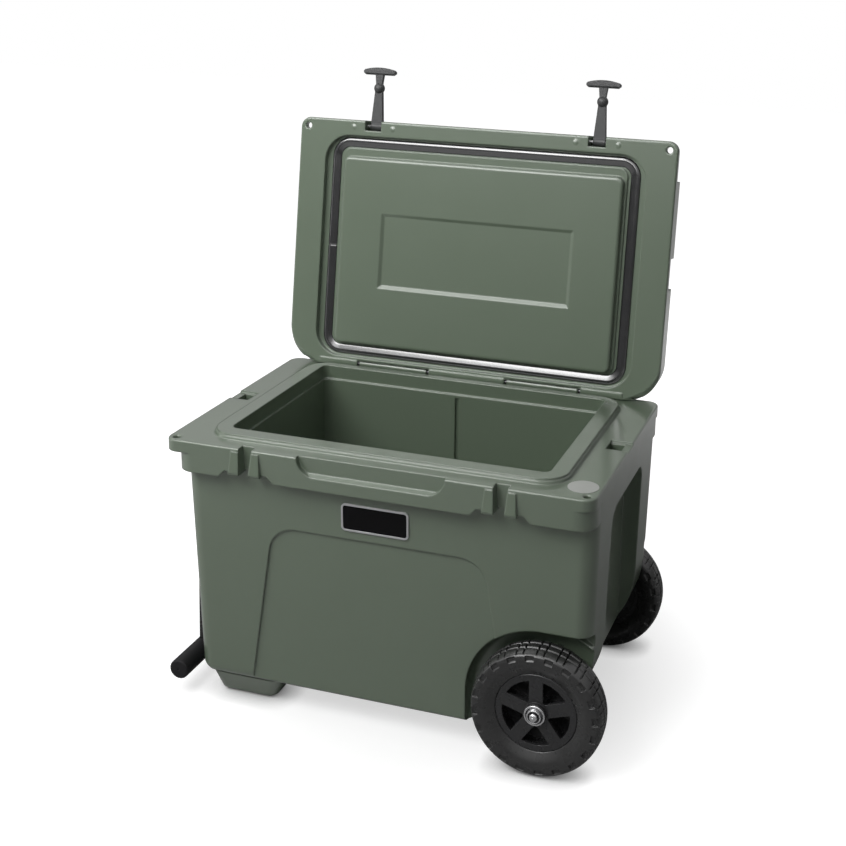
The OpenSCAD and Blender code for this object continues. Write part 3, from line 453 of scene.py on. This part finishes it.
def make_tyre(name, node, body, side):
    low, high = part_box(node)
    middle = (low + high) / 2
    radius, half_width = (high.z - low.z) / 2, (high.y - low.y) / 2
    outline = tyre_outline(radius, half_width)
    floor_radius = radius - tread_deep
    arc = 2 * pi * radius / tread_pitches
    long_block = long_share * arc
    pocket_wide = pocket_share * long_share * 2 * pi * pocket_radius / tread_pitches
    steps = {round(arc * k / steps_in_pitch, 6) for k in range(steps_in_pitch)}
    for centre in (0, long_block):
        steps |= {round(centre + offset * 0.0001, 6) for offset in beside_slit}
    for centre in (long_block / 2 - pocket_wide / 2, long_block / 2 + pocket_wide / 2):
        steps |= {round(centre + offset * 0.0001, 6) for offset in beside_pocket_end}
    steps = sorted({round(step % arc, 6) for step in steps})
    around = [(pitch * arc + step, step) for pitch in range(tread_pitches) for step in steps]
    points = []
    for along, step in around:
        angle = along / radius
        apart = min(abs(step - centre) for centre in (0, long_block, arc))
        in_slit = ease(apart, slit / 2 - slit_edge_in, slit / 2 + slit_edge_out)
        in_pocket = ease(abs(step - long_block / 2),
                         pocket_wide / 2 - pocket_edge_in, pocket_wide / 2 + pocket_edge_out)
        for r, h in outline:
            cut = max(in_slit, ease(abs(abs(h) - groove_at), groove_bottom, groove_mouth))
            if r > floor_radius:
                r -= (r - floor_radius) * cut
            sink = in_pocket * ease(abs(r - pocket_radius),
                                    pocket_high / 2 - pocket_edge_in, pocket_high / 2 + pocket_edge_out)
            h -= (1 if h > 0 else -1) * sink * max(abs(h) - half_width + pocket_deep, 0)
            points.append((
                middle.x + r * cos(angle), middle.y + side * h, middle.z - side * r * sin(angle)
            ))
    return new_piece(name, points, swept_faces(len(around), len(outline)), tyre_rubber, body)


tyre_rubber = finish_surface("tyre_rubber", (0.021, 0.021, 0.021), (0.031, 0.031, 0.031), 25,
                             (0.22, 0.34), 1500, 0.0002, 0, specular=0.6)
for name, node, body, side in (("tyre_ring_front", "tyre_front", "front_wheel", -1),
                               ("tyre_ring_back", "tyre_back", "back_wheel", 1)):
    ring_piece = make_tyre(name, node, body, side)
    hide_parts(node)

# ---- Axle ends ----
# Outside each hub a turned zinc washer with a grooved face is held by a pressed collar, and
# the rounded end of the steel axle stands in the collar's recess. The washer's groove and the
# collar's recess get the dark zinc as painted shade.

washer_section = [  # radius and depth behind the outer face, in millimetres
    (6.05, 0.1), (6.2, 0.0), (10.8, 0.0), (11.2, 0.2), (11.4, 1.2), (11.7, 1.5), (12.7, 1.5), (13.1, 1.2),
    (13.3, 0.3), (13.7, 0.0), (15.1, 0.0), (15.8, 0.3), (16.2, 0.9), (16.2, 1.7), (15.9, 2.0), (6.2, 2.0),
    (6.05, 1.9)
]
# Faces of the washer's groove, painted dark as shade.
washer_groove = range(3, 8)
collar_section = [
    (0.4, 0.0), (2.4, 0.15), (4.2, 0.6), (5.5, 1.4), (6.2, 2.4), (6.5, 3.4), (6.5, 7.2), (6.7, 7.4),
    (8.2, 7.4), (8.5, 7.1), (8.7, 5.2), (8.9, 4.9), (9.4, 4.6), (10.2, 4.6), (10.8, 4.9), (11.1, 5.5),
    (11.1, 7.9), (11.0, 8.0), (6.2, 8.0), (6.05, 7.9), (6.05, 4.4), (5.9, 4.3), (0.4, 4.3)
]
# Faces of the collar's recess round the axle end, painted dark as shade.
collar_recess = range(5, 10)


def turned_pair(name, node, section, painted_shade_part, has_hole):
    """The same turned piece at both ends of the axle. The faces of its shaded part get the dark zinc as
    painted shade.
    """
    low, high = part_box(node)
    middle = (low + high) / 2
    turns, ring = 72, len(section)
    points, faces, painted_shade_faces = [], [], []
    for outer_y, inwards in ((low.y, 1), (high.y, -1)):
        first = len(points)
        for i in range(turns):
            angle = 2 * pi * i / turns
            points += [(middle.x + 0.001 * r * cos(angle), outer_y + inwards * 0.001 * depth,
                        middle.z + 0.001 * r * sin(angle)) for r, depth in section]
        around = swept_faces(turns, ring, first, has_hole)
        faces += [face[::inwards] for face in around]
        painted_shade_faces += [k % (len(around) // turns) in painted_shade_part for k in range(len(around))]
        if not has_hole:
            faces.append(tuple(first + i * ring for i in range(turns))[::-inwards])
            faces.append(tuple(first + i * ring + ring - 1 for i in range(turns))[::inwards])
            painted_shade_faces += [False, False]
    piece = new_piece(name, points, faces, washer_zinc, "tub")
    piece.data.materials.append(dark_zinc_and_painted_shade)
    for face, in_painted_shade in zip(piece.data.polygons, painted_shade_faces):
        face.material_index = int(in_painted_shade)
    return piece


washer_zinc = finish_surface("washer_zinc", (0.52, 0.52, 0.53), (0.70, 0.70, 0.71), 60,
                             (0.18, 0.30), 2500, 0.0001, 0, metallic=1.0)
grooved_washers = turned_pair("grooved_washers", "wheel_washers", washer_section, washer_groove, True)
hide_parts("wheel_washers")
axle_collars = turned_pair("axle_collars", "axle_nuts", collar_section, collar_recess, False)
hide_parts("axle_nuts")

# ---- Tow handle ----
# A black moulded frame of two arms swings on steel pins in brackets on the end wall. A soft
# black rubber grip with an end cap on each side is pushed over its cross bar.

dress(hub_plastic, "handle_frame", "handle_brackets")
dress(dark_zinc_and_painted_shade, "handle_pivot_pins")
soften(0.0008, "handle_frame")
grip_rubber = finish_surface("grip_rubber", (0.012, 0.012, 0.013), (0.020, 0.020, 0.021), 30,
                             (0.5, 0.65), 1400, 0.0003, 0.0010, specular=0.15)
dress(grip_rubber, "handle_grip", "grip_end_caps")

# ---- Drain ----
# A flanged fitting of black plastic goes through the end wall, low under the handle. A plug
# of the same plastic, with a bar to hold it by, closes it.

dress(hub_plastic, "drain_fitting", "drain_plug")
